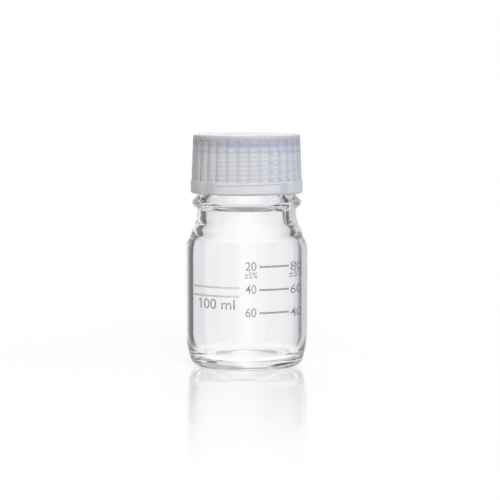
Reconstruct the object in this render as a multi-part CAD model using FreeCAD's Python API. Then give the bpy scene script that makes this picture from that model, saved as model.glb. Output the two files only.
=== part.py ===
import FreeCAD, Part
import math
import os

# Laboratory reagent bottle for 100 ml: clear glass, screw cap, pouring ring, seal and fired enamel marks.
# Millimetres, +Z up, the origin in the middle of the base on the surface that the bottle stands on.
# The photographed front, with the enamel marks, faces -Y.

# Barrel and foot of the glass
body_diameter = 56.0
body_wall = 3.25
floor_thickness = 5.0
push_up = 1.6
push_up_flat_diameter = 14.0
push_up_rounding = 8.0
bearing_ring_inner_diameter = 29.0
bearing_ring_width = 2.5
bearing_rounding = 5.0
heel_inset = 2.8
heel_rise = 0.7
heel_rounding = 4.8
foot_height = 11.8
foot_rounding = 48.0
inner_heel_inset = 2.8
inner_heel_rounding = 5.0
inner_foot_rounding = 20.0
barrel_height = 44.6

# Shoulder and neck of the glass
shoulder_rounding = 9.4
step_inset = 2.35
step_rise = 3.6
step_rounding = 6.9
waist_taper = 0.45
waist_rise = 2.9
waist_rounding = 7.4
neck_diameter = 45.3
neck_wall = 4.5
flare_rise = 4.3
flare_rounding = 12.0
neck_rise = 5.25
inner_shoulder_drop = 0.4
inner_shoulder_rounding = 9.0
inner_flare_rounding = 8.0

# Collar bead and mouth of the glass
bead_diameter = 50.0
bead_rounding = 1.8
bead_root_rounding = 0.8
mouth_diameter = 30.0
throat_rounding = 3.0
throat_rise = 5.0
thread_land = 12.4
lip_diameter = 37.8
lip_height = 3.5
lip_rounding = 1.2
groove_depth = 0.6
groove_height = 1.6
groove_rounding = 0.3

# Screw thread of the neck, right handed
thread_pitch = 4.0
thread_diameter = 45.0
thread_depth = 1.6
thread_width = 2.6
thread_turns = 2.0
thread_start_rise = 2.4
thread_fade_angle = 25.0
thread_fade_overrun = 6.25
thread_fade_reach = 3.5
thread_root_overlap = 0.5

# Pouring ring
ring_roof = 1.3
ring_wall = 1.25
ring_skirt_depth = 5.0
ring_hook_height = 0.6
ring_mouth_step = 0.4
ring_rim_overhang = 0.5
ring_rim_height = 0.7
ring_clearance = 0.15
ring_rounding = 0.25

# Seal and its facing
seal_thickness = 2.0
facing_thickness = 0.3
seal_clearance = 0.25

# Screw cap, whose widths follow from the neck's thread, its clearances and the cap's walls
cap_top_wall = 2.0
cap_skirt_wall = 2.35
cap_skirt_taper = 0.75
cap_height = 26.85
cap_top_rounding = 1.1
cap_rim_height = 2.2
cap_band_proud = 0.4
cap_band_height = 5.85
cap_band_rounding = 0.8
cap_band_top_rounding = 0.25
cap_rib_count = 30
cap_rib_depth = 0.55
cap_rib_turn = 1.7
cap_pocket_clearance = 0.25
cap_pocket_wall = 1.1
cap_bead_reach = 0.45
cap_bead_height = 0.8
cap_mouth_clearance = 0.4
cap_mouth_depth = 1.2
cap_inner_rounding = 0.4
cap_thread_crest_width = 0.6
cap_thread_root_width = 1.8
cap_thread_turns = 3.9
cap_thread_start_rise = 2.35
thread_crest_clearance = 0.35
thread_root_clearance = 0.4

# Fired enamel marks on the barrel
enamel_thickness = 0.06
enamel_seat_gap = 0.02
enamel_line_width = 0.9
graduation_step = 20000.0
graduation_first_step = 2
graduation_last_step = 4
graduation_print_rise = 0.7
graduation_from_angle = 11.7
graduation_to_angle = 42.6
rule_from_angle = -58.0
rule_to_angle = -7.1
rule_lower_height = 34.8
rule_spacing = 3.95

# Directions and tolerances
axis_point = FreeCAD.Vector(0, 0, 0)
axis_direction = FreeCAD.Vector(0, 0, 1)
front_angle = -90.0
rounding_room_share = 0.99
shortest_line = 1e-6
fill_height_tolerance = 0.01

# Radii that several pieces share
body_radius = body_diameter / 2
inner_radius = body_radius - body_wall
neck_radius = neck_diameter / 2
neck_bore_radius = neck_radius - neck_wall
mouth_radius = mouth_diameter / 2
lip_radius = lip_diameter / 2
groove_radius = lip_radius - groove_depth
thread_radius = thread_diameter / 2
core_radius = thread_radius - thread_depth
bead_tip_radius = bead_diameter / 2 + bead_rounding * (math.sqrt(2) - 1)
ring_bore_radius = lip_radius + ring_clearance
ring_radius = ring_bore_radius + ring_wall
ring_rim_radius = ring_radius + ring_rim_overhang
cap_thread_crest_radius = core_radius + thread_crest_clearance
cap_thread_root_radius = thread_radius + thread_root_clearance
cap_skirt_radius = cap_thread_root_radius + cap_skirt_wall
cap_top_radius = cap_skirt_radius - cap_skirt_taper
cap_band_radius = cap_skirt_radius + cap_band_proud
cap_mouth_radius = cap_thread_root_radius + cap_mouth_clearance
cap_pocket_radius = cap_thread_root_radius - cap_pocket_wall
cap_bead_radius = cap_pocket_radius - cap_bead_reach
seal_radius = cap_pocket_radius - cap_pocket_clearance

# Heights, each stacked on the one below
shoulder_z = foot_height + barrel_height
barrel_top_z = shoulder_z - shoulder_rounding * math.tan(math.atan2(step_inset, step_rise) / 2)
step_z = shoulder_z + step_rise
waist_z = step_z + waist_rise
neck_z = waist_z + flare_rise
bead_z = neck_z + neck_rise
bead_tip_z = bead_z + bead_tip_radius - neck_radius
thread_land_z = bead_tip_z + bead_tip_radius - core_radius
thread_land_top_z = thread_land_z + thread_land
groove_z = thread_land_top_z + core_radius - groove_radius
lip_bead_z = groove_z + groove_height
lip_z = lip_bead_z + groove_depth + lip_height
ring_top_z = lip_z + ring_roof
seal_z = ring_top_z + facing_thickness
cap_ceiling_z = seal_z + seal_thickness
cap_top_z = cap_ceiling_z + cap_top_wall
cap_bottom_z = cap_top_z - cap_height
cap_band_top_z = cap_bottom_z + cap_band_height
cap_rim_z = cap_top_z - cap_rim_height
cap_bead_z = ring_top_z - seal_clearance
thread_start_z = thread_land_z + thread_start_rise
cap_thread_start_z = cap_bottom_z + cap_thread_start_rise


def rounded_outline(corners):
    """Closed outline in the XZ plane through (radius, height, rounding) corners, as lines and tangent arcs.

    A rounding is limited to the room that the lines beside its corner leave.
    """
    count = len(corners)
    places = [FreeCAD.Vector(radius, 0, height) for radius, height, rounding in corners]
    runs = [places[(index + 1) % count] - places[index] for index in range(count)]
    turns = [runs[index - 1].getAngle(runs[index]) for index in range(count)]
    reaches = [corner[2] * math.tan(turn / 2) for corner, turn in zip(corners, turns)]
    shares = [1.0] * count
    for index in range(count):
        following = (index + 1) % count
        wanted = reaches[index] + reaches[following]
        if wanted > runs[index].Length:
            room_share = rounding_room_share * runs[index].Length / wanted
            shares[index] = min(shares[index], room_share)
            shares[following] = min(shares[following], room_share)
    edges = []
    leave_points = []
    arrive_points = []
    for index in range(count):
        reach = reaches[index] * shares[index]
        arriving = FreeCAD.Vector(runs[index - 1]).normalize()
        leaving = FreeCAD.Vector(runs[index]).normalize()
        arrive_points.append(places[index] - arriving * reach)
        leave_points.append(places[index] + leaving * reach)
        if reach > 0:
            inward = (leaving - arriving).normalize()
            half_turn = turns[index] / 2
            radius = reach / math.tan(half_turn)
            middle = places[index] + inward * (radius / math.cos(half_turn) - radius)
            edges.append(Part.Arc(arrive_points[index], middle, leave_points[index]).toShape())
    for index in range(count):
        start = leave_points[index]
        end = arrive_points[(index + 1) % count]
        if start.distanceToPoint(end) > shortest_line:
            edges.append(Part.LineSegment(start, end).toShape())
    return Part.Wire(Part.__sortEdges__(edges))


def turned(corners):
    """Solid of revolution about the bottle's axis."""
    return Part.Face(rounded_outline(corners)).revolve(axis_point, axis_direction, 360)


def polar(radius, angle, height):
    """Point at a radius, an angle in degrees from +X and a height."""
    turn = math.radians(angle)
    return FreeCAD.Vector(radius * math.cos(turn), radius * math.sin(turn), height)


def helical_ridge(outline, radius, turns, start_z):
    """Thread ridge that starts at angle 0 and start_z, from its outline drawn about height 0."""
    helix = Part.makeHelix(thread_pitch, thread_pitch * turns, radius)
    ridge = Part.Wire(helix.Edges).makePipeShell([outline], True, True)
    ridge.translate(FreeCAD.Vector(0, 0, start_z))
    return ridge


def faded(ridge, root_radius, crest_radius, turns, start_z):
    """The ridge with both its ends sloped from the crest down to the root."""
    margin = math.copysign(thread_root_overlap / 2, crest_radius - root_radius)
    sunk_radius = root_radius - margin
    clear_radius = crest_radius + margin
    beyond_radius = crest_radius + math.copysign(thread_fade_reach, crest_radius - root_radius)
    end_angle = 360 * turns
    end_z = start_z + thread_pitch * turns
    for angle, inward, height in ((0, 1, start_z), (end_angle, -1, end_z)):
        bottom = height - thread_pitch / 2
        crest_angle = angle + inward * thread_fade_angle
        outer_angle = angle - inward * thread_fade_overrun
        corners = [
            polar(sunk_radius, angle, bottom),
            polar(clear_radius, crest_angle, bottom),
            polar(beyond_radius, crest_angle, bottom),
            polar(beyond_radius, outer_angle, bottom),
            polar(sunk_radius, outer_angle, bottom),
        ]
        prism = Part.Face(Part.makePolygon(corners + corners[:1])).extrude(FreeCAD.Vector(0, 0, thread_pitch))
        ridge = ridge.cut(prism)
    return ridge


def glass_corners():
    """Corners of the glass in section: the outside upwards, over the lip and down the inside."""
    outside = [
        (0, push_up, 0),
        (push_up_flat_diameter / 2, push_up, push_up_rounding),
        (bearing_ring_inner_diameter / 2, 0, bearing_rounding),
        (bearing_ring_inner_diameter / 2 + bearing_ring_width, 0, bearing_rounding),
        (body_radius - heel_inset, heel_rise, heel_rounding),
        (body_radius, foot_height, foot_rounding),
        (body_radius, shoulder_z, shoulder_rounding),
        (body_radius - step_inset, step_z, step_rounding),
        (body_radius - step_inset - waist_taper, waist_z, waist_rounding),
        (neck_radius, neck_z, flare_rounding),
        (neck_radius, bead_z, bead_root_rounding),
        (bead_tip_radius, bead_tip_z, bead_rounding),
        (core_radius, thread_land_z, bead_root_rounding),
        (core_radius, thread_land_top_z, lip_rounding),
        (groove_radius, groove_z, groove_rounding),
        (groove_radius, lip_bead_z, groove_rounding),
        (lip_radius, lip_bead_z + groove_depth, groove_rounding),
        (lip_radius, lip_z, lip_rounding),
    ]
    return outside + [(mouth_radius, lip_z, lip_rounding)] + hollow_corners()


def hollow_corners():
    """Corners of the hollow in section, from the throat down to the floor."""
    return [
        (mouth_radius, bead_z + throat_rise, throat_rounding),
        (neck_bore_radius, bead_z, throat_rounding),
        (neck_bore_radius, neck_z, inner_flare_rounding),
        (inner_radius, shoulder_z - inner_shoulder_drop, inner_shoulder_rounding),
        (inner_radius, foot_height, inner_foot_rounding),
        (inner_radius - inner_heel_inset, floor_thickness, inner_heel_rounding),
        (0, floor_thickness, 0),
    ]


def bottle():
    """The glass vessel with its round screw thread."""
    embedded_radius = core_radius - thread_root_overlap
    lower_root = FreeCAD.Vector(core_radius, 0, -thread_width / 2)
    upper_root = FreeCAD.Vector(core_radius, 0, thread_width / 2)
    crest = FreeCAD.Vector(thread_radius, 0, 0)
    foot = [upper_root]
    foot.append(FreeCAD.Vector(embedded_radius, 0, thread_width / 2))
    foot.append(FreeCAD.Vector(embedded_radius, 0, -thread_width / 2))
    foot.append(lower_root)
    round_top = Part.Arc(lower_root, crest, upper_root).toShape()
    outline = Part.Wire([round_top] + Part.makePolygon(foot).Edges)
    thread = helical_ridge(outline, core_radius, thread_turns, thread_start_z)
    thread = faded(thread, core_radius, thread_radius, thread_turns, thread_start_z)
    return turned(glass_corners()).fuse(thread)


def pouring_ring():
    """Ring that snaps over the mouth lip, with a drip edge round its top."""
    skirt_z = lip_z - ring_skirt_depth
    hook_radius = groove_radius + ring_clearance
    hook_top_z = skirt_z + ring_hook_height
    return turned([
        (mouth_radius + ring_mouth_step, lip_z, 0),
        (mouth_radius + ring_mouth_step, ring_top_z, ring_rounding),
        (ring_rim_radius, ring_top_z, ring_rounding),
        (ring_rim_radius, ring_top_z - ring_rim_height, ring_rounding),
        (ring_radius, ring_top_z - ring_rim_height - ring_rim_overhang, ring_rounding),
        (ring_radius, skirt_z, ring_rounding),
        (hook_radius, skirt_z, ring_rounding),
        (hook_radius, hook_top_z, 0),
        (ring_bore_radius, hook_top_z + groove_depth, 0),
        (ring_bore_radius, lip_z, 0),
    ])


def seal_disc():
    """Soft disc in the cap's pocket."""
    return Part.makeCylinder(seal_radius, seal_thickness, FreeCAD.Vector(0, 0, seal_z))


def seal_facing():
    """Thin film under the disc, resting on the pouring ring."""
    return Part.makeCylinder(seal_radius, facing_thickness, FreeCAD.Vector(0, 0, ring_top_z))


def scalloped_wire(crest_radius, height):
    """Ring of convex ribs that meet in sharp valleys."""
    pitch = 360 / cap_rib_count
    valley_radius = crest_radius - cap_rib_depth
    arcs = []
    for index in range(cap_rib_count):
        start = front_angle + cap_rib_turn + index * pitch
        first = polar(valley_radius, start, height)
        middle = polar(crest_radius, start + pitch / 2, height)
        last = polar(valley_radius, start + pitch, height)
        arcs.append(Part.Arc(first, middle, last).toShape())
    return Part.Wire(arcs)


def cap_outside():
    """The cap's outer form: plain rim, ribbed skirt and plain lower band."""
    rim = turned([
        (0, cap_rim_z, 0),
        (cap_top_radius, cap_rim_z, 0),
        (cap_top_radius, cap_top_z, cap_top_rounding),
        (0, cap_top_z, 0),
    ])
    band = turned([
        (0, cap_bottom_z, 0),
        (cap_band_radius, cap_bottom_z, cap_band_rounding),
        (cap_band_radius, cap_band_top_z, cap_band_top_rounding),
        (0, cap_band_top_z, 0),
    ])
    lower_wire = scalloped_wire(cap_skirt_radius, cap_band_top_z)
    upper_wire = scalloped_wire(cap_top_radius, cap_rim_z)
    ribs = Part.makeLoft([lower_wire, upper_wire], True, True)
    return band.fuse([ribs, rim])


def cap_hollow():
    """The cap's inside: mouth, threaded bore, bead under the seal and the seal's pocket."""
    bead_step = cap_thread_root_radius - cap_bead_radius
    bead_bottom_z = cap_bead_z - cap_bead_height
    return turned([
        (0, cap_bottom_z, 0),
        (cap_mouth_radius, cap_bottom_z, 0),
        (cap_mouth_radius, cap_bottom_z + cap_mouth_depth, cap_inner_rounding),
        (cap_thread_root_radius, cap_bottom_z + cap_mouth_depth + cap_mouth_clearance, cap_inner_rounding),
        (cap_thread_root_radius, bead_bottom_z - bead_step, cap_inner_rounding),
        (cap_bead_radius, bead_bottom_z, cap_inner_rounding),
        (cap_bead_radius, cap_bead_z - cap_bead_reach, cap_inner_rounding),
        (cap_pocket_radius, cap_bead_z, 0),
        (cap_pocket_radius, cap_ceiling_z, 0),
        (0, cap_ceiling_z, 0),
    ])


def screw_cap():
    """The cap with its inner thread, which lies midway between the turns of the neck's thread."""
    ridge_height = cap_thread_root_radius - cap_thread_crest_radius
    flank_spread = (cap_thread_root_width - cap_thread_crest_width) / ridge_height
    embedded_radius = cap_thread_root_radius + thread_root_overlap
    embedded_width = cap_thread_root_width + flank_spread * thread_root_overlap
    corners = [
        FreeCAD.Vector(embedded_radius, 0, -embedded_width / 2),
        FreeCAD.Vector(cap_thread_crest_radius, 0, -cap_thread_crest_width / 2),
        FreeCAD.Vector(cap_thread_crest_radius, 0, cap_thread_crest_width / 2),
        FreeCAD.Vector(embedded_radius, 0, embedded_width / 2),
    ]
    outline = Part.makePolygon(corners + corners[:1])
    ridge = helical_ridge(outline, cap_thread_root_radius, cap_thread_turns, cap_thread_start_z)
    ridge = faded(ridge, cap_thread_root_radius, cap_thread_crest_radius, cap_thread_turns, cap_thread_start_z)
    midway_z = thread_start_z - thread_pitch / 2
    ridge.rotate(axis_point, axis_direction, 360 * (cap_thread_start_z - midway_z) / thread_pitch)
    return cap_outside().cut(cap_hollow()).fuse(ridge)


def enamel_bar(from_angle, to_angle, height):
    """Flat bar that follows the barrel, between two angles to the right of the front and about a height."""
    inside = body_radius + enamel_seat_gap
    outside = inside + enamel_thickness
    low = height - enamel_line_width / 2
    high = height + enamel_line_width / 2
    corners = [(inside, low), (outside, low), (outside, high), (inside, high), (inside, low)]
    section = Part.Face(Part.makePolygon([FreeCAD.Vector(radius, 0, z) for radius, z in corners]))
    bar = section.revolve(axis_point, axis_direction, to_angle - from_angle)
    bar.rotate(axis_point, axis_direction, front_angle + from_angle)
    return bar


def fill_height(volume):
    """Height of the liquid's surface when the bottle holds a volume, in cubic millimetres."""
    hollow = turned([(0, lip_z, 0), (mouth_radius, lip_z, 0)] + hollow_corners())
    low, high = floor_thickness, lip_z
    while high - low > fill_height_tolerance:
        middle = (low + high) / 2
        below = Part.makeCylinder(body_radius, middle)
        if hollow.common(below).Volume < volume:
            low = middle
        else:
            high = middle
    return (low + high) / 2


def volume_marks():
    """One line for each graduation that lies on the straight barrel.

    The print sits a little over the exact heights, well within the scale's tolerance of a twentieth.
    """
    steps = range(graduation_first_step, graduation_last_step + 1)
    heights = [fill_height(graduation_step * step) + graduation_print_rise for step in steps]
    bars = [enamel_bar(graduation_from_angle, graduation_to_angle, z) for z in heights if z < barrel_top_z]
    return Part.makeCompound(bars)


def label_rules():
    """Two rules on the left of the front, which frame the label's field."""
    heights = (rule_lower_height, rule_lower_height + rule_spacing)
    return Part.makeCompound([enamel_bar(rule_from_angle, rule_to_angle, z) for z in heights])


pieces = (bottle, pouring_ring, seal_disc, seal_facing, screw_cap, volume_marks, label_rules)

os.makedirs("parts", exist_ok=True)
for piece in pieces:
    shape = piece()
    shape.exportStep("parts/" + piece.__name__ + ".step")
    box = shape.BoundBox
    print(piece.__name__, len(shape.Solids), shape.isValid(), round(shape.Volume, 1),
          [round(value, 2) for value in (box.XMin, box.XMax, box.YMin, box.YMax, box.ZMin, box.ZMax)])
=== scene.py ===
import math

import bmesh
import bpy
from bpy.props import FloatProperty, FloatVectorProperty, IntProperty, PointerProperty
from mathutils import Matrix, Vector


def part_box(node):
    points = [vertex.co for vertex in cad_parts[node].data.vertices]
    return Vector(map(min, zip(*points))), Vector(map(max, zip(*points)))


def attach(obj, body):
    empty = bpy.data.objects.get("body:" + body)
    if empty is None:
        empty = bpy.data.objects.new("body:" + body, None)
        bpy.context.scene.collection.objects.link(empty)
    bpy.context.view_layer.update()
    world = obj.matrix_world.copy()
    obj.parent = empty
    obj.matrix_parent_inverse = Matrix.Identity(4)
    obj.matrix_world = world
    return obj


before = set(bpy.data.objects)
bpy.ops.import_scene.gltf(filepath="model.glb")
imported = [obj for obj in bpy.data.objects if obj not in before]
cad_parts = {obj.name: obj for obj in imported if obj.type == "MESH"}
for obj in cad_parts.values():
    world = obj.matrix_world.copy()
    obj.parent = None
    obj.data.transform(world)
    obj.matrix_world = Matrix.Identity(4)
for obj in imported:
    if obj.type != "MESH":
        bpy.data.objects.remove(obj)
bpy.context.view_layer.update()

bl_info = {
    "name": "Reagent bottle",
    "version": (1, 0, 0),
    "blender": (4, 5, 0),
    "location": "3D View > Sidebar > Bottle",
    "description": "Dresses a 100 ml glass reagent bottle with its screw cap, print and studio",
    "category": "Object",
}

BARREL_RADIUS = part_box("bottle")[1].x
MARKS_LOW, MARKS_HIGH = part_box("volume_marks")
RULES_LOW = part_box("label_rules")[0]
CAP_LOW, CAP_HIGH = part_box("screw_cap")
SEAL_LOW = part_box("seal_disc")[0]
MM = 0.001
WHITE = (1, 1, 1)
BLACK = (0, 0, 0)

# What the scale and the label say
FULL_VOLUMES = (40, 60, 80)
CAPACITY = 100
TOLERANCE = "±5%"

# Numbers of the sockets of a Mix node that carry colours
MIX_FIRST = 6
MIX_SECOND = 7
MIX_RESULT = 2

# Name, power setting, place, side and colour of each lamp, in metres
LAMPS = (
    ("front_key", "key_power", (0.14, -0.98, 0.7), 0.6, WHITE),
    ("right_cool", "side_power", (0.95, -0.15, 0.35), 0.5, (0.2, 0.4, 1)),
    ("back_fill", "back_power", (0, 0.98, 0.7), 0.6, WHITE),
    ("overhead", "top_power", (0, 0, 1.2), 0.7, WHITE),
)


class GlassSettings(bpy.types.PropertyGroup):
    """Finish of the clear glass."""

    tint: FloatVectorProperty(
        name="Tint", description="Colour of light that passes the glass",
        default=(0.996, 0.995, 0.998), subtype="COLOR", min=0, max=1)
    ior: FloatProperty(
        name="Refractive index", description="Borosilicate glass bends light by this",
        default=1.473, min=1)
    haze: FloatProperty(
        name="Haze", description="Roughness of the fire polished skin",
        default=0.012, min=0, max=1)
    ripple: FloatProperty(
        name="Ripple", description="Depth of the slow waves that blowing leaves in the wall",
        default=0.02 * MM, unit="LENGTH", subtype="DISTANCE")


class ClosureSettings(bpy.types.PropertyGroup):
    """Finish of the cap, pouring ring, seal and facing, with the colours of the painted light and shade on
    the cap.
    """

    cap_colour: FloatVectorProperty(
        name="Cap", description="Milky plastic of the screw cap",
        default=(0.59, 0.583, 0.594), subtype="COLOR", min=0, max=1)
    # Painted light where a turn of thread backs the cap's wall; the plastic's flow marks also blend towards
    # this colour
    bar_colour: FloatVectorProperty(
        name="Thread bars", description="Where a turn of thread backs the cap's wall",
        default=(0.64, 0.637, 0.635), subtype="COLOR", min=0, max=1)
    # Painted shade where the cap's wall is thin, in the ribs' valleys and between the thread bars
    valley_colour: FloatVectorProperty(
        name="Thin wall", description="Where the cap's wall is thin: valleys of the ribs and thread",
        default=(0.47, 0.495, 0.58), subtype="COLOR", min=0, max=1)
    # Painted shade: cool lines and patches where an edge of the seal, ring, neck or thread backs the cap's
    # wall
    line_colour: FloatVectorProperty(
        name="Edge lines", description="Where an edge of the seal, ring or neck backs the cap's wall",
        default=(0.33, 0.36, 0.48), subtype="COLOR", min=0, max=1)
    band_colour: FloatVectorProperty(
        name="Band", description="Plain thick band under the cap's grip",
        default=(0.65, 0.65, 0.65), subtype="COLOR", min=0, max=1)
    shade_colour: FloatVectorProperty(
        name="Shade", description="Where the seal and the pouring ring back the wall of the cap",
        default=(0.455, 0.445, 0.475), subtype="COLOR", min=0, max=1)
    # Painted light: the flat top is painted paler, as the light from above makes it
    top_colour: FloatVectorProperty(
        name="Top", description="Pale flat top of the cap",
        default=(0.75, 0.75, 0.75), subtype="COLOR", min=0, max=1)
    cap_milk: FloatProperty(
        name="Milk", description="Share of light that scatters inside the cap's wall",
        default=0.6, min=0, max=1, subtype="FACTOR")
    # Painted glow: the cap's inner side emits this, as of light that comes through the milky wall
    glow_colour: FloatVectorProperty(
        name="Glow", description="Light that comes through the milky wall, on the inner side of the cap",
        default=(0.56, 0.56, 0.56), subtype="COLOR", min=0, max=1)
    glow_radius: FloatProperty(
        name="Glow radius", description="The cap's inner side lies within this distance of its axis",
        default=23.4 * MM, unit="LENGTH", subtype="DISTANCE")
    band_height: FloatProperty(
        name="Band height", description="Height of the plain band under the cap's grip",
        default=5.85 * MM, unit="LENGTH", subtype="DISTANCE")
    band_radius: FloatProperty(
        name="Band radius", description="From the cap's axis to the outside of its band",
        default=24.9 * MM, unit="LENGTH", subtype="DISTANCE")
    rim_height: FloatProperty(
        name="Rim height", description="Height of the plain rim over the cap's grip",
        default=2.2 * MM, unit="LENGTH", subtype="DISTANCE")
    ring_drop: FloatProperty(
        name="Ring drop", description="From the underside of the seal to the ring's edge that shows under it",
        default=3.2 * MM, unit="LENGTH", subtype="DISTANCE")
    neck_turn: FloatProperty(
        name="Neck turn", description="Turn from the front to where the neck's edge backs the band",
        default=math.radians(39.01), unit="ROTATION", subtype="ANGLE")
    start_height: FloatProperty(
        name="Thread start", description="Height at which the thread's start shows on the front of the band",
        default=84.4 * MM, unit="LENGTH", subtype="DISTANCE")
    milk_reach: FloatProperty(
        name="Milk reach", description="How far light scatters inside the cap's wall",
        default=2.5 * MM, unit="LENGTH", subtype="DISTANCE")
    cap_satin: FloatProperty(
        name="Satin", description="Roughness of the moulded plastic",
        default=0.28, min=0, max=1)
    cap_sheen: FloatProperty(
        name="Sheen", description="Specular level of the moulded plastic",
        default=0.25, min=0, max=1)
    plastic_ior: FloatProperty(
        name="Plastic index", description="Refractive index of the plastic",
        default=1.36, min=1)
    rib_count: IntProperty(
        name="Ribs", description="Ribs round the cap's grip",
        default=30, min=1)
    rib_turn: FloatProperty(
        name="Rib turn", description="Turn from +X to the first valley between ribs",
        default=math.radians(-88.3), unit="ROTATION", subtype="ANGLE")
    thread_pitch: FloatProperty(
        name="Thread pitch", description="Rise of one turn of the thread",
        default=4.0 * MM, unit="LENGTH", subtype="DISTANCE")
    thread_height: FloatProperty(
        name="Thread height", description="Height at which a turn of thread crosses the +X side",
        default=81.07 * MM, unit="LENGTH", subtype="DISTANCE")
    seal_colour: FloatVectorProperty(
        name="Seal", description="Silicone of the seal disc",
        default=(0.8, 0.79, 0.77), subtype="COLOR", min=0, max=1)
    facing_colour: FloatVectorProperty(
        name="Facing", description="White film under the seal",
        default=(0.88, 0.88, 0.87), subtype="COLOR", min=0, max=1)


class PrintSettings(bpy.types.PropertyGroup):
    """Sizes, places and colour of the fired print."""

    enamel_colour: FloatVectorProperty(
        name="Enamel", description="Grey of the fired print",
        default=(0.25, 0.25, 0.25), subtype="COLOR", min=0, max=1)
    label_colour: FloatVectorProperty(
        name="Label enamel", description="Paler grey of the label's rules",
        default=(0.64, 0.64, 0.64), subtype="COLOR", min=0, max=1)
    cover: FloatProperty(
        name="Cover", description="How far each face of the thin print hides what is behind it",
        default=0.5, min=0, max=1, subtype="FACTOR")
    thickness: FloatProperty(
        name="Thickness", description="How far the print stands on the glass",
        default=0.03 * MM, unit="LENGTH", subtype="DISTANCE")
    line_width: FloatProperty(
        name="Line width", description="Width of the graduation lines and rules",
        default=0.9 * MM, unit="LENGTH", subtype="DISTANCE")
    digit_height: FloatProperty(
        name="Digit height", description="Height of the scale's numbers",
        default=4.05 * MM, unit="LENGTH", subtype="DISTANCE")
    number_width: FloatProperty(
        name="Number width", description="Width of a number of two digits",
        default=4.9 * MM, unit="LENGTH", subtype="DISTANCE")
    side_stretch: FloatProperty(
        name="Side stretch", description="Extra width of what stands round the side",
        default=1.7, min=1)
    tolerance_height: FloatProperty(
        name="Tolerance height", description="Height of the tolerance under a number",
        default=2.8 * MM, unit="LENGTH", subtype="DISTANCE")
    tolerance_width: FloatProperty(
        name="Tolerance width", description="Width of the tolerance under a number",
        default=5.8 * MM, unit="LENGTH", subtype="DISTANCE")
    tolerance_drop: FloatProperty(
        name="Tolerance drop", description="From the middle of a number to the tolerance under it",
        default=3.75 * MM, unit="LENGTH", subtype="DISTANCE")
    capacity_height: FloatProperty(
        name="Capacity height", description="Height of the capacity's letters",
        default=4.6 * MM, unit="LENGTH", subtype="DISTANCE")
    capacity_width: FloatProperty(
        name="Capacity width", description="Width of the capacity's line",
        default=19.1 * MM, unit="LENGTH", subtype="DISTANCE")
    capacity_drop: FloatProperty(
        name="Capacity drop", description="From the lower rule to the middle of the capacity",
        default=3.6 * MM, unit="LENGTH", subtype="DISTANCE")
    empty_column: FloatProperty(
        name="Left column", description="Turn from the front to the numbers left of the lines",
        default=math.radians(3.9), unit="ROTATION", subtype="ANGLE")
    empty_rise: FloatProperty(
        name="Left rise", description="How far the left numbers stand over the middle of their lines",
        default=0.25 * MM, unit="LENGTH", subtype="DISTANCE")
    full_column: FloatProperty(
        name="Right column", description="Turn from the front to the numbers right of the lines",
        default=math.radians(53.1), unit="ROTATION", subtype="ANGLE")
    full_drop: FloatProperty(
        name="Right drop", description="How far the right numbers stand under the middle of their lines",
        default=0.3 * MM, unit="LENGTH", subtype="DISTANCE")
    boldness: FloatProperty(
        name="Boldness", description="How far the letters are thickened, in heights of a letter",
        default=0.005, min=0)
    capacity_turn: FloatProperty(
        name="Capacity turn", description="Turn from the front to the middle of the capacity",
        default=math.radians(-30.5), unit="ROTATION", subtype="ANGLE")


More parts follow.
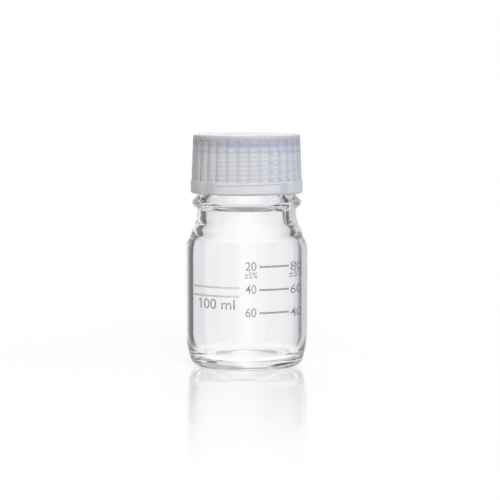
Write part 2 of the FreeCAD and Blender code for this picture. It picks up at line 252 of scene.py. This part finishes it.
class StageSettings(bpy.types.PropertyGroup):
    """Camera, floor, tent and lamps of the studio."""

    camera_distance: FloatProperty(
        name="Camera distance", description="Level distance from the bottle's axis",
        default=0.95, unit="LENGTH", subtype="DISTANCE")
    camera_height: FloatProperty(
        name="Camera height", description="Height over the floor",
        default=0.138, unit="LENGTH", subtype="DISTANCE")
    aim_height: FloatProperty(
        name="Aim height", description="Height on the axis that shows in the middle of the frame",
        default=0.0534, unit="LENGTH", subtype="DISTANCE")
    aim_side: FloatProperty(
        name="Aim side", description="How far right of the axis the camera looks",
        default=0.00152, unit="LENGTH", subtype="DISTANCE")
    lens: FloatProperty(
        name="Lens", description="Focal length on a 36 mm sensor, in millimetres",
        default=149.5, min=1)
    floor_width: FloatProperty(
        name="Floor width", description="Side of the square floor",
        default=8.0, unit="LENGTH", subtype="DISTANCE")
    floor_reach: FloatProperty(
        name="Floor reach", description="How far shadow and reflection show on the floor",
        default=0.26, unit="LENGTH", subtype="DISTANCE")
    floor_shadow: FloatProperty(
        name="Floor shadow", description="Share of the floor that takes shadow",
        default=0.15, min=0, max=1, subtype="FACTOR")
    floor_mirror: FloatProperty(
        name="Floor mirror", description="Share of the floor that reflects",
        default=0.4, min=0, max=1, subtype="FACTOR")
    bounce_colour: FloatVectorProperty(
        name="Bounce colour", description="Colour of the floor to the light that it throws back up",
        default=(0.5, 0.5, 0.5), subtype="COLOR", min=0, max=1)
    flag_colour: FloatVectorProperty(
        name="Flag colour", description="Colour of the darkest flags that stand round the tent",
        default=(0.05, 0.048, 0.055), subtype="COLOR", min=0, max=1)
    veil_colour: FloatVectorProperty(
        name="Veil colour", description="Colour of the tent's cloth between its white panels",
        default=(0.84, 0.835, 0.865), subtype="COLOR", min=0, max=1)
    strip_turn: FloatProperty(
        name="Strip turn", description="Turn of the flags that show straight through the glass",
        default=math.radians(4.25), unit="ROTATION", subtype="ANGLE")
    strip_depth: FloatProperty(
        name="Strip depth", description="How dark a flag is that shows straight through the glass",
        default=0.8, min=0, max=1, subtype="FACTOR")
    edge_depth: FloatProperty(
        name="Edge depth", description="How dark a flag is that the inside of the wall mirrors",
        default=0.97, min=0, max=1, subtype="FACTOR")
    haze_depth: FloatProperty(
        name="Haze depth", description="How grey the tent is where the inside of the wall mirrors no flag",
        default=0.38, min=0, max=1, subtype="FACTOR")
    ambient: FloatProperty(
        name="Ambient", description="Level of the tent's light on the object",
        default=0.25, min=0)
    key_power: FloatProperty(
        name="Key", description="Power of the front lamp, in watts",
        default=12.6, min=0)
    side_power: FloatProperty(
        name="Side", description="Power of the cool lamp on the right, in watts",
        default=1.6, min=0)
    back_power: FloatProperty(
        name="Back", description="Power of the lamp behind the bottle, in watts",
        default=5.5, min=0)
    top_power: FloatProperty(
        name="Top", description="Power of the lamp overhead, in watts",
        default=0.6, min=0)


class Signal:
    """A socket that takes part in Python sums, each of which adds a Math node."""

    def __init__(self, graph, socket):
        self.graph = graph
        self.socket = socket

    def math(self, operation, first, second=0.0):
        """Result of a Math node."""
        return self.graph.node("ShaderNodeMath", {"operation": operation}, {0: first, 1: second})

    def __add__(self, other):
        return self.math("ADD", self, other)

    def __radd__(self, other):
        return self.math("ADD", other, self)

    def __sub__(self, other):
        return self.math("SUBTRACT", self, other)

    def __rsub__(self, other):
        return self.math("SUBTRACT", other, self)

    def __mul__(self, other):
        return self.math("MULTIPLY", self, other)

    def __rmul__(self, other):
        return self.math("MULTIPLY", other, self)

    def __truediv__(self, other):
        return self.math("DIVIDE", self, other)

    def __rtruediv__(self, other):
        return self.math("DIVIDE", other, self)

    def __pow__(self, other):
        return self.math("POWER", self, other)

    def __rpow__(self, other):
        return self.math("POWER", other, self)

    def larger(self, other):
        return self.math("MAXIMUM", self, other)

    def sine(self):
        return self.math("SINE", self)

    def cosine(self):
        return self.math("COSINE", self)

    def magnitude(self):
        return self.math("ABSOLUTE", self)

    def turn_from(self, other):
        """Angle of the point (other, self), from the other's axis."""
        return self.math("ARCTAN2", self, other)

    def ramp(self, low, high):
        """0 below low, 1 above high and a smooth rise between them."""
        settings = {"interpolation_type": "SMOOTHSTEP"}
        inputs = {"Value": self, "From Min": low, "From Max": high}
        return self.graph.node("ShaderNodeMapRange", settings, inputs)


class Graph:
    """A node tree that is filled by calls."""

    def __init__(self, tree):
        self.tree = tree
        tree.nodes.clear()

    def node(self, kind, settings=None, inputs=None, output=0):
        """Adds a node, sets it up, feeds its sockets with values or signals and gives one of its outputs."""
        node = self.tree.nodes.new(kind)
        for name, value in (settings or {}).items():
            setattr(node, name, value)
        for name, value in (inputs or {}).items():
            if isinstance(value, Signal):
                self.tree.links.new(value.socket, node.inputs[name])
            else:
                node.inputs[name].default_value = value
        if not node.outputs:
            return None
        return Signal(self, node.outputs[output])

    def place(self):
        """Object coordinates of the point that is shaded."""
        return self.node("ShaderNodeTexCoord", output="Object")

    def stretched(self, scale):
        """Object coordinates with a scale of their own along each axis."""
        inputs = {"Vector": self.place(), "Scale": scale}
        return self.node("ShaderNodeMapping", {"vector_type": "POINT"}, inputs)

    def noise(self, vector, scale, detail):
        """Soft noise from 0 to 1."""
        return self.node("ShaderNodeTexNoise", None, {"Vector": vector, "Scale": scale, "Detail": detail})

    def bump(self, height, depth):
        """Normal of a surface that a height from 0 to 1 raises by a depth."""
        return self.node("ShaderNodeBump", None, {"Height": height, "Distance": depth, "Strength": 1.0})

    def axes(self, vector):
        """The three numbers of a vector."""
        return [self.node("ShaderNodeSeparateXYZ", None, {"Vector": vector}, output=axis) for axis in "XYZ"]

    def blend(self, factor, first, second):
        """Colour between two, each given as numbers or as a signal, by a factor."""
        ends = [colour if isinstance(colour, Signal) else (*colour, 1) for colour in (first, second)]
        inputs = {"Factor": factor, MIX_FIRST: ends[0], MIX_SECOND: ends[1]}
        return self.node("ShaderNodeMix", {"data_type": "RGBA"}, inputs, output=MIX_RESULT)

    def mix(self, share, first, second):
        """Shader between two, by the share of the second."""
        return self.node("ShaderNodeMixShader", None, {0: share, 1: first, 2: second})

    def ray(self, kind):
        """What the Light Path node says of the ray that is shaded."""
        return self.node("ShaderNodeLightPath", output=kind)

    def surface(self, inputs):
        """Ends a material with one Principled shader."""
        self.output(self.node("ShaderNodeBsdfPrincipled", None, inputs))

    def output(self, shader):
        """Ends a material with a shader."""
        self.node("ShaderNodeOutputMaterial", None, {"Surface": shader})


def new_finish(name):
    """An empty material and its graph."""
    material = bpy.data.materials.new(name)
    material.use_nodes = True
    return material, Graph(material.node_tree)


def shaded(colour, level):
    """The colour made lighter or darker."""
    return tuple(min(1.0, channel * level) for channel in colour)


def dress(node_name, material):
    """Puts a finish on a CAD node."""
    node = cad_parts[node_name]
    if not node.material_slots:
        raise RuntimeError("no material slot on " + node_name)
    for slot in node.material_slots:
        slot.material = material


def clear_glass(look):
    """Fire polished glass: slow upright waves from blowing, and a trace of haze from handling."""
    wave_scale = (70, 70, 16)
    smear_scale = 55.0
    smear_edge = (0.35, 0.75)
    material, graph = new_finish("clear_glass_finish")
    waves = graph.noise(graph.stretched(wave_scale), 1.0, detail=1.0)
    smears = graph.noise(graph.place(), smear_scale, detail=4.0)
    graph.surface({
        "Base Color": (*look.tint, 1),
        "Roughness": smears.ramp(*smear_edge) * look.haze,
        "IOR": look.ior,
        "Transmission Weight": 1.0,
        "Normal": graph.bump(waves, look.ripple),
    })
    return material


def milky_plastic(name, look, wall_colour=None, inner_glow=None):
    """Translucent moulded plastic with flow marks and a fine satin grain, and where they are given, painted
    light and shade on the wall and a painted glow inside.
    """
    flow_scale = (90, 90, 30)
    flow_share = 0.1
    flow_edge = (0.2, 0.8)
    satin_spread = 0.08
    grain_scale = 2600.0
    grain_share = 0.6
    grain_depth = 0.012 * MM
    even_scatter = (1.0, 1.0, 1.0)
    material, graph = new_finish(name)
    flow = graph.noise(graph.stretched(flow_scale), 1.0, detail=3.0)
    grain = graph.noise(graph.place(), grain_scale, detail=2.0)
    # On the cap the wall colour holds painted light and shade
    colour = wall_colour(graph, look) if wall_colour else look.cap_colour
    glow = inner_glow(graph, look) if inner_glow else (*BLACK, 1)
    graph.surface({
        "Base Color": graph.blend(flow * flow_share, colour, look.bar_colour),
        "Roughness": flow.ramp(*flow_edge) * satin_spread + (look.cap_satin - satin_spread / 2),
        "IOR": look.plastic_ior,
        "Specular IOR Level": look.cap_sheen,
        "Subsurface Weight": look.cap_milk,
        "Subsurface Radius": even_scatter,
        "Subsurface Scale": look.milk_reach,
        # Painted glow: emission on the cap's inner side, as of light that comes through the wall
        "Emission Color": glow,
        "Emission Strength": 1.0,
        "Normal": graph.bump(grain * grain_share + flow, grain_depth),
    })
    return material


class CapWall:
    """Where a point of the cap's wall lies, as signals."""

    def __init__(self, graph, look):
        zone_blur = 0.4 * MM
        side, self.depth, self.height = graph.axes(graph.place())
        self.turn = self.depth.turn_from(side)
        self.ribs = ((self.turn - look.rib_turn) * look.rib_count).cosine()
        self.band_top = CAP_LOW.z + look.band_height
        rim_low = CAP_HIGH.z - look.rim_height
        over_band = self.height.ramp(self.band_top, self.band_top + zone_blur)
        over_grip = self.height.ramp(rim_low - zone_blur, rim_low)
        self.grip = over_band * (1 - over_grip)

    def winding(self, look, level):
        """Angle along a thread that crosses the +X side at a level, 0 on the thread itself."""
        return (self.height - level) / look.thread_pitch * (2 * math.pi) - self.turn


def thread_marks(wall, look):
    """Shares of the painted light of the pale bars where the thread backs the wall, and of the painted shade
    in the gaps between them and in the cool dashes.
    """
    thread_top = (SEAL_LOW.z - 3.0 * MM, SEAL_LOW.z - 1.5 * MM)
    bar_edge = (-0.6, 0.8)
    bar_side = (-0.6, 0.6)
    bar_share = 0.8
    rib_edge = (-0.3, 0.8)
    gap_share = 0.4
    dash_edge = (0.5, 1.0)
    dash_width = (-0.7, 0.5)
    dash_turn = math.radians(38)
    dash_side = (0.12, 0.8)
    dash_share = 0.5
    threaded = wall.grip * (1 - wall.height.ramp(*thread_top))
    winding = wall.winding(look, look.thread_height)
    backed = (winding * 2).cosine().ramp(*bar_edge)
    facing = ((wall.turn + math.pi / 2) * 2).cosine().ramp(*bar_side)
    bars = backed * threaded * (1 - wall.ribs.ramp(*rib_edge)) * facing * bar_share
    gaps = (1 - backed) * threaded * facing * gap_share
    aside = ((wall.turn + dash_turn) * 2).cosine().ramp(*dash_side)
    dashes = (winding.cosine() * -1).ramp(*dash_edge) * wall.ribs.ramp(*dash_width)
    return bars, gaps, dashes * threaded * aside * dash_share


def edge_lines(wall, look):
    """Share of the cool painted shade lines where the lower edges of the seal and of the pouring ring back
    the wall.
    """
    seal_fade = (SEAL_LOW.z - 0.6 * MM, SEAL_LOW.z + 1.8 * MM)
    seal_foot = (SEAL_LOW.z - 1.7 * MM, SEAL_LOW.z - 0.6 * MM)
    ring_reach = (0.2 * MM, 1.0 * MM)
    ring_share = 0.7
    front_turn = math.radians(70)
    front_side = (-0.1, 0.8)
    front_share = 0.4
    back_share = 0.35
    seal_line = (1 - wall.height.ramp(*seal_fade)) * wall.height.ramp(*seal_foot)
    off_ring = (wall.height - (SEAL_LOW.z - look.ring_drop)).magnitude()
    ring_line = (1 - off_ring.ramp(*ring_reach)) * ring_share
    front = (wall.turn + front_turn).cosine().ramp(*front_side)
    return seal_line.larger(ring_line) * (front * front_share + back_share)


def band_marks(wall, look):
    """Shares of the cool painted shade patches where the neck backs the band, and of the painted shade line
    of the thread's start.
    """
    patch_reach = (0.02, 0.1)
    patch_top = (wall.band_top - 0.6 * MM, wall.band_top)
    patch_share = 0.35
    line_edge = (0.94, 1.0)
    line_top = (wall.band_top - 0.8 * MM, wall.band_top)
    line_front = (19.5 * MM, 22.0 * MM)
    off_neck = (wall.depth.magnitude() / look.band_radius - math.cos(look.neck_turn)).magnitude()
    patches = (1 - off_neck.ramp(*patch_reach)) * (1 - wall.height.ramp(*patch_top)) * patch_share
    line = (wall.winding(look, look.start_height) - math.pi / 2).cosine().ramp(*line_edge)
    line = line * (1 - wall.height.ramp(*line_top)) * (wall.depth * -1).ramp(*line_front)
    return patches, line


def cap_wall_colour(graph, look):
    """Colour of the cap's wall, with painted light and shade where the thread, the seal, the neck and the
    ribs' valleys show through, and painted light on its top.
    """
    wall = CapWall(graph, look)
    ring_low = SEAL_LOW.z - look.ring_drop
    band_edge = (wall.band_top - 0.4 * MM, wall.band_top)
    seal_edge = (SEAL_LOW.z - 0.8 * MM, SEAL_LOW.z)
    seal_share = 0.75
    ring_edge = (ring_low - 2.2 * MM, ring_low)
    ring_share = 0.4
    top_edge = (CAP_HIGH.z - 0.35 * MM, CAP_HIGH.z - 0.1 * MM)
    valley_edge = (0.75, 1.0)
    valley_share = 0.4
    bars, gaps, dashes = thread_marks(wall, look)
    patches, line = band_marks(wall, look)
    valleys = wall.ribs.ramp(*valley_edge) * wall.grip * valley_share
    layers = (
        (1 - wall.height.ramp(*band_edge), look.band_colour),
        # Painted shade from the seal's underside up over the rim, and where the pouring ring backs the grip
        (wall.height.ramp(*seal_edge) * seal_share, look.shade_colour),
        (wall.height.ramp(*ring_edge) * wall.grip * ring_share, look.shade_colour),
        # Painted shade: cool lines at the seal's and ring's lower edges, and patches where the neck backs the
        # band
        (edge_lines(wall, look), look.line_colour),
        (patches, look.line_colour),
        # Painted light on the flat top
        (wall.height.ramp(*top_edge), look.top_colour),
        # Painted light of the thread bars, then painted shade in the valleys, the gaps, the dashes and along
        # the thread's start
        (bars, look.bar_colour),
        (valleys.larger(gaps), look.valley_colour),
        (line.larger(dashes), look.line_colour),
    )
    colour = look.cap_colour
    for share, layer in layers:
        colour = graph.blend(share, colour, layer)
    return colour


def cap_inner_glow(graph, look):
    """Colour of the painted glow on the cap's inner side, and black on its outer side."""
    wall_edge = (look.glow_radius, look.glow_radius + 0.3 * MM)
    plate_edge = (CAP_HIGH.z - 1.2 * MM, CAP_HIGH.z - 0.8 * MM)
    side, depth, height = graph.axes(graph.place())
    radius = (side * side + depth * depth) ** 0.5
    inner = (1 - radius.ramp(*wall_edge)) * (1 - height.ramp(*plate_edge))
    return graph.blend(inner, BLACK, look.glow_colour)


def silicone(colour):
    """Matt silicone with a fine grain and a little dust."""
    grain_scale = 1800.0
    grain_depth = 0.02 * MM
    dust_scale = 160.0
    darkest = 0.93
    palest = 1.05
    roughness = 0.5
    roughness_spread = 0.2
    material, graph = new_finish("seal_silicone")
    grain = graph.noise(graph.place(), grain_scale, detail=3.0)
    dust = graph.noise(graph.place(), dust_scale, detail=4.0)
    graph.surface({
        "Base Color": graph.blend(dust, shaded(colour, darkest), shaded(colour, palest)),
        "Roughness": grain * roughness_spread + roughness,
        "Normal": graph.bump(grain, grain_depth),
    })
    return material


def skived_film(colour):
    """White film with the fine parallel marks of the knife that peeled it."""
    mark_scale = (2600, 60, 60)
    mark_depth = 0.01 * MM
    darkest = 0.96
    palest = 1.03
    roughness = 0.3
    roughness_spread = 0.16
    material, graph = new_finish("facing_skived_film")
    marks = graph.noise(graph.stretched(mark_scale), 1.0, detail=2.0)
    graph.surface({
        "Base Color": graph.blend(marks, shaded(colour, darkest), shaded(colour, palest)),
        "Roughness": marks * roughness_spread + roughness,
        "Normal": graph.bump(marks, mark_depth),
    })
    return material


def fired_enamel(name, colour, cover):
    """Thin grey enamel with the fine mottle of the screen it was printed through."""
    mottle_scale = 1500.0
    mottle_share = 0.6
    mottle_depth = 0.01 * MM
    wear_scale = 240.0
    darkest = 0.86
    palest = 1.14
    roughness = 0.3
    roughness_spread = 0.3
    sheen = 0.2
    material, graph = new_finish(name)
    mottle = graph.noise(graph.place(), mottle_scale, detail=3.0)
    wear = graph.noise(graph.place(), wear_scale, detail=3.0)
    patches = mottle * mottle_share + wear * (1 - mottle_share)
    graph.surface({
        "Base Color": graph.blend(patches, shaded(colour, darkest), shaded(colour, palest)),
        "Roughness": wear * roughness_spread + roughness,
        "Specular IOR Level": sheen,
        "Alpha": cover,
        "Normal": graph.bump(mottle, mottle_depth),
    })
    return material


def add_flag(shape):
    """Gives a plain upright 1 at the start of a flat line of text the slanted stroke at its top."""
    stem_margin = 0.01
    reach = 0.13
    drop = 0.1
    stem_thickness = 0.11
    tip_thickness = 0.1
    left = min(vertex.co.x for vertex in shape.verts)
    top = max(vertex.co.y for vertex in shape.verts if vertex.co.x < left + stem_margin)
    tip = left - reach
    corners = (
        (left, top, 0),
        (left, top - stem_thickness, 0),
        (tip, top - drop - tip_thickness, 0),
        (tip, top - drop, 0),
    )
    bmesh.ops.contextual_create(shape, geom=[shape.verts.new(corner) for corner in corners])


def flat_text(text, height, width, boldness):
    """Mesh of a line of text, centred, as high and as wide as given."""
    merge_distance = 1e-5
    curve = bpy.data.curves.new("type_" + text, "FONT")
    curve.body = text
    curve.align_x = "CENTER"
    curve.offset = boldness
    holder = bpy.data.objects.new("type_" + text, curve)
    bpy.context.scene.collection.objects.link(holder)
    bpy.context.view_layer.update()
    evaluated = holder.evaluated_get(bpy.context.evaluated_depsgraph_get())
    mesh = bpy.data.meshes.new_from_object(evaluated)
    bpy.data.objects.remove(holder)
    bpy.data.curves.remove(curve)
    shape = bmesh.new()
    shape.from_mesh(mesh)
    bpy.data.meshes.remove(mesh)
    if not shape.faces:
        raise RuntimeError("no face in the text " + text)
    if text.startswith("1"):
        add_flag(shape)
    bmesh.ops.remove_doubles(shape, verts=shape.verts, dist=merge_distance)
    sides = [vertex.co.x for vertex in shape.verts]
    levels = [vertex.co.y for vertex in shape.verts]
    middle = Vector((min(sides) + max(sides), min(levels) + max(levels), 0)) / 2
    bmesh.ops.translate(shape, verts=shape.verts, vec=-middle)
    size = Vector((width / (max(sides) - min(sides)), height / (max(levels) - min(levels)), 1))
    bmesh.ops.scale(shape, verts=shape.verts, vec=size)
    return shape


def wrap_on_barrel(shape, width, turn, height, thickness):
    """Cuts a flat shape into narrow strips, thickens it and bends it round the barrel."""
    strip_width = 0.5 * MM
    cut_tolerance = 1e-7
    cuts = int(width / strip_width)
    for index in range(1, cuts):
        edge = Vector((index * width / cuts - width / 2, 0, 0))
        everything = shape.verts[:] + shape.edges[:] + shape.faces[:]
        bmesh.ops.bisect_plane(shape, geom=everything, plane_co=edge, plane_no=(1, 0, 0), dist=cut_tolerance)
    grown = bmesh.ops.extrude_face_region(shape, geom=shape.faces[:])
    raised = [item for item in grown["geom"] if isinstance(item, bmesh.types.BMVert)]
    bmesh.ops.translate(shape, verts=raised, vec=(0, 0, thickness))
    for vertex in shape.verts:
        angle = turn + vertex.co.x / BARREL_RADIUS
        radius = BARREL_RADIUS + vertex.co.z
        vertex.co = (radius * math.sin(angle), -radius * math.cos(angle), height + vertex.co.y)
    return shape


def printed_piece(name, lines, settings, material):
    """One piece of print from lines of (text, height, width, turn, level on the barrel)."""
    whole = bmesh.new()
    for text, height, width, turn, level in lines:
        letters = flat_text(text, height, width, settings.boldness)
        shape = wrap_on_barrel(letters, width, turn, level, settings.thickness)
        part = bpy.data.meshes.new(name)
        shape.to_mesh(part)
        shape.free()
        whole.from_mesh(part)
        bpy.data.meshes.remove(part)
    bmesh.ops.recalc_face_normals(whole, faces=whole.faces)
    mesh = bpy.data.meshes.new(name)
    whole.to_mesh(mesh)
    whole.free()
    mesh.materials.append(material)
    piece = bpy.data.objects.new(name, mesh)
    bpy.context.scene.collection.objects.link(piece)
    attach(piece, "bottle")
    return piece


class BOTTLE_OT_glass(bpy.types.Operator):
    """Gives the glass vessel its finish"""

    bl_idname = "bottle.glass"
    bl_label = "Glass"

    def execute(self, context):
        dress("bottle", clear_glass(context.scene.bottle_glass))
        return {"FINISHED"}


class BOTTLE_OT_closure(bpy.types.Operator):
    """Gives the screw cap, pouring ring, seal and facing their finishes"""

    bl_idname = "bottle.closure"
    bl_label = "Closure"

    def execute(self, context):
        look = context.scene.bottle_closure
        # The cap's plastic carries painted light and shade on its wall and a painted glow inside
        dress("screw_cap", milky_plastic("cap_plastic_finish", look, cap_wall_colour, cap_inner_glow))
        dress("pouring_ring", milky_plastic("ring_plastic_finish", look))
        dress("seal_disc", silicone(look.seal_colour))
        dress("seal_facing", skived_film(look.facing_colour))
        return {"FINISHED"}


class BOTTLE_OT_print(bpy.types.Operator):
    """Prints the scale, its numbers and the capacity on the barrel"""

    bl_idname = "bottle.fired_print"
    bl_label = "Fired print"

    def execute(self, context):
        look = context.scene.bottle_print
        enamel = fired_enamel("fired_enamel_print", look.enamel_colour, look.cover)
        dress("volume_marks", enamel)
        dress("label_rules", fired_enamel("fired_enamel_label", look.label_colour, look.cover))
        lowest = MARKS_LOW.z + look.line_width / 2
        highest = MARKS_HIGH.z - look.line_width / 2
        levels = (lowest, (lowest + highest) / 2, highest)
        wide = look.number_width * look.side_stretch
        numbers = []
        for level, full in zip(levels, FULL_VOLUMES):
            left = level + look.empty_rise
            right = level - look.full_drop
            empty = str(CAPACITY - full)
            numbers.append((empty, look.digit_height, look.number_width, look.empty_column, left))
            numbers.append((str(full), look.digit_height, wide, look.full_column, right))
        printed_piece("scale_numbers", numbers, look, enamel)
        under = highest - look.tolerance_drop
        wide = look.tolerance_width * look.side_stretch
        tolerances = [
            (TOLERANCE, look.tolerance_height, look.tolerance_width, look.empty_column, under),
            (TOLERANCE, look.tolerance_height, wide, look.full_column, under),
        ]
        printed_piece("scale_tolerances", tolerances, look, enamel)
        level = RULES_LOW.z + look.line_width / 2 - look.capacity_drop
        words = "%d ml" % CAPACITY
        capacity = [(words, look.capacity_height, look.capacity_width, look.capacity_turn, level)]
        printed_piece("capacity_print", capacity, look, enamel)
        return {"FINISHED"}


def studio_floor(settings):
    """Pale glossy floor: white to the eye, with a soft shadow and a faint mirror image near the bottle."""
    drop = 0.05 * MM
    near_edge = (0.02, settings.floor_reach)
    matt_colour = (0.98, 0.98, 0.98)
    gloss_roughness = 0.08
    shape = bmesh.new()
    bmesh.ops.create_grid(shape, x_segments=1, y_segments=1, size=settings.floor_width / 2)
    bmesh.ops.translate(shape, verts=shape.verts, vec=(0, 0, -drop))
    mesh = bpy.data.meshes.new("studio_floor")
    shape.to_mesh(mesh)
    shape.free()
    floor = bpy.data.objects.new("studio_floor", mesh)
    bpy.context.scene.collection.objects.link(floor)
    material, graph = new_finish("studio_floor_gloss")
    distance = graph.node("ShaderNodeVectorMath", {"operation": "LENGTH"}, {0: graph.place()}, output="Value")
    near = 1 - distance.ramp(*near_edge)
    matt = graph.node("ShaderNodeBsdfDiffuse", None, {"Color": (*matt_colour, 1)})
    gloss_inputs = {"Color": (*WHITE, 1), "Roughness": gloss_roughness}
    gloss = graph.node("ShaderNodeBsdfGlossy", None, gloss_inputs)
    glow = graph.node("ShaderNodeEmission", None, {"Color": (*WHITE, 1), "Strength": 1.0})
    marked_share = settings.floor_mirror + settings.floor_shadow
    marked = graph.mix(settings.floor_mirror / marked_share, matt, gloss)
    picture = graph.mix(near * marked_share, glow, marked)
    bounce = graph.node("ShaderNodeBsdfDiffuse", None, {"Color": (*settings.bounce_colour, 1)})
    seen = graph.ray("Is Camera Ray").larger(graph.ray("Is Glossy Ray"))
    clear = graph.node("ShaderNodeBsdfTransparent")
    through = graph.ray("Is Transmission Ray")
    graph.output(graph.mix(through, graph.mix(seen, bounce, picture), clear))
    mesh.materials.append(material)


def studio_tent(settings):
    """White world with grey flags, alike on all four sides, that only light through glass shows."""
    sides = 4
    low_edge = (0.25, 0.6)
    high_edge = (0.6, 0.95)
    strip_edge = (0.88, 0.98)
    flag_edge = (0.1, 0.5)
    raised_edge = (0.15, 0.4)
    haze_edge = (-0.2, 0.5)
    veil_edge = (0.03, 0.6)
    world = bpy.data.worlds.new("studio_tent")
    world.use_nodes = True
    graph = Graph(world.node_tree)
    side, depth, level = graph.axes(graph.node("ShaderNodeTexCoord", output="Generated"))
    turn = side.turn_from(depth)
    across = (turn * sides).sine()
    ahead = (turn * sides).cosine()
    mirrored = graph.ray("Glossy Depth").ramp(0, 1)
    upright = 1 - level.magnitude().ramp(*low_edge)
    tall = 1 - level.ramp(*high_edge).larger((level * -1).ramp(*low_edge))
    strip = ((turn - settings.strip_turn) * sides).sine().ramp(*strip_edge) * settings.strip_depth
    flag = ((across + ahead) * -0.5).ramp(*flag_edge)
    raised = ((across - ahead) * 0.5).ramp(*flag_edge) * level.ramp(*raised_edge)
    edge = flag.larger(raised) * settings.edge_depth
    edge = edge.larger(across.ramp(*haze_edge) * settings.haze_depth)
    dark = strip * (1 - mirrored) * upright + edge * mirrored * tall
    through = graph.ray("Is Transmission Ray")
    seen = graph.ray("Is Camera Ray").larger(graph.ray("Is Glossy Ray"))
    veil = across.magnitude().ramp(*veil_edge) * through * upright
    cloth = graph.blend(veil, WHITE, settings.veil_colour)
    colour = graph.blend(dark * through, cloth, settings.flag_colour)
    strength = seen.larger(through) * (1 - settings.ambient) + settings.ambient
    background = graph.node("ShaderNodeBackground", None, {"Color": colour, "Strength": strength})
    graph.node("ShaderNodeOutputWorld", None, {"Surface": background})
    bpy.context.scene.world = world


def add_lamp(name, place, target, size, power, colour):
    """Square soft lamp aimed at a point."""
    lamp = bpy.data.lights.new(name, "AREA")
    lamp.shape = "SQUARE"
    lamp.size = size
    lamp.energy = power
    lamp.color = colour
    holder = bpy.data.objects.new(name, lamp)
    holder.location = place
    holder.rotation_euler = (Vector(target) - Vector(place)).to_track_quat("-Z", "Y").to_euler()
    holder.visible_glossy = False
    holder.visible_transmission = False
    bpy.context.scene.collection.objects.link(holder)


def add_camera(settings):
    """Camera at the photograph's viewing angle."""
    camera = bpy.data.cameras.new("studio_camera")
    camera.sensor_width = 36
    camera.lens = settings.lens
    camera.clip_start = 0.01
    holder = bpy.data.objects.new("studio_camera", camera)
    holder.location = (0, -settings.camera_distance, settings.camera_height)
    aim = Vector((settings.aim_side, 0, settings.aim_height))
    holder.rotation_euler = (aim - holder.location).to_track_quat("-Z", "Y").to_euler()
    bpy.context.scene.collection.objects.link(holder)
    bpy.context.scene.camera = holder


def let_light_through_glass(cycles):
    """Enough bounces for the mirror paths inside thick glass."""
    cycles.max_bounces = 32
    cycles.glossy_bounces = 24
    cycles.transmission_bounces = 32
    cycles.transparent_max_bounces = 16


class BOTTLE_OT_stage(bpy.types.Operator):
    """Sets up the floor, the white tent, the lamps and the camera"""

    bl_idname = "bottle.stage"
    bl_label = "Stage"

    def execute(self, context):
        settings = context.scene.bottle_stage
        context.scene.view_settings.view_transform = "Standard"
        let_light_through_glass(context.scene.cycles)
        studio_floor(settings)
        studio_tent(settings)
        target = (0, 0, CAP_LOW.z)
        for name, power, place, size, colour in LAMPS:
            add_lamp(name, place, target, size, getattr(settings, power), colour)
        add_camera(settings)
        return {"FINISHED"}


class BOTTLE_PT_sidebar(bpy.types.Panel):
    """Lists the bottle's operators and settings"""

    bl_idname = "BOTTLE_PT_sidebar"
    bl_label = "Reagent bottle"
    bl_space_type = "VIEW_3D"
    bl_region_type = "UI"
    bl_category = "Bottle"

    def draw(self, context):
        for operator in OPERATORS:
            self.layout.operator(operator.bl_idname)
        for name, group in SETTINGS.items():
            column = self.layout.column(align=True)
            for key in group.__annotations__:
                column.prop(getattr(context.scene, name), key)


SETTINGS = {
    "bottle_glass": GlassSettings,
    "bottle_closure": ClosureSettings,
    "bottle_print": PrintSettings,
    "bottle_stage": StageSettings,
}
OPERATORS = (BOTTLE_OT_glass, BOTTLE_OT_closure, BOTTLE_OT_print, BOTTLE_OT_stage)


def register():
    """Makes the settings, operators and panel known to Blender."""
    for group in (*SETTINGS.values(), *OPERATORS, BOTTLE_PT_sidebar):
        bpy.utils.register_class(group)
    for name, group in SETTINGS.items():
        setattr(bpy.types.Scene, name, PointerProperty(type=group))


def unregister():
    """Takes back what register did."""
    for name in SETTINGS:
        delattr(bpy.types.Scene, name)
    for group in (BOTTLE_PT_sidebar, *reversed(OPERATORS), *reversed(SETTINGS.values())):
        bpy.utils.unregister_class(group)


def main():
    """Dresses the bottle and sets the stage."""
    register()
    bpy.ops.bottle.glass()
    bpy.ops.bottle.closure()
    bpy.ops.bottle.fired_print()
    bpy.ops.bottle.stage()


if __name__ == "__main__":
    main()
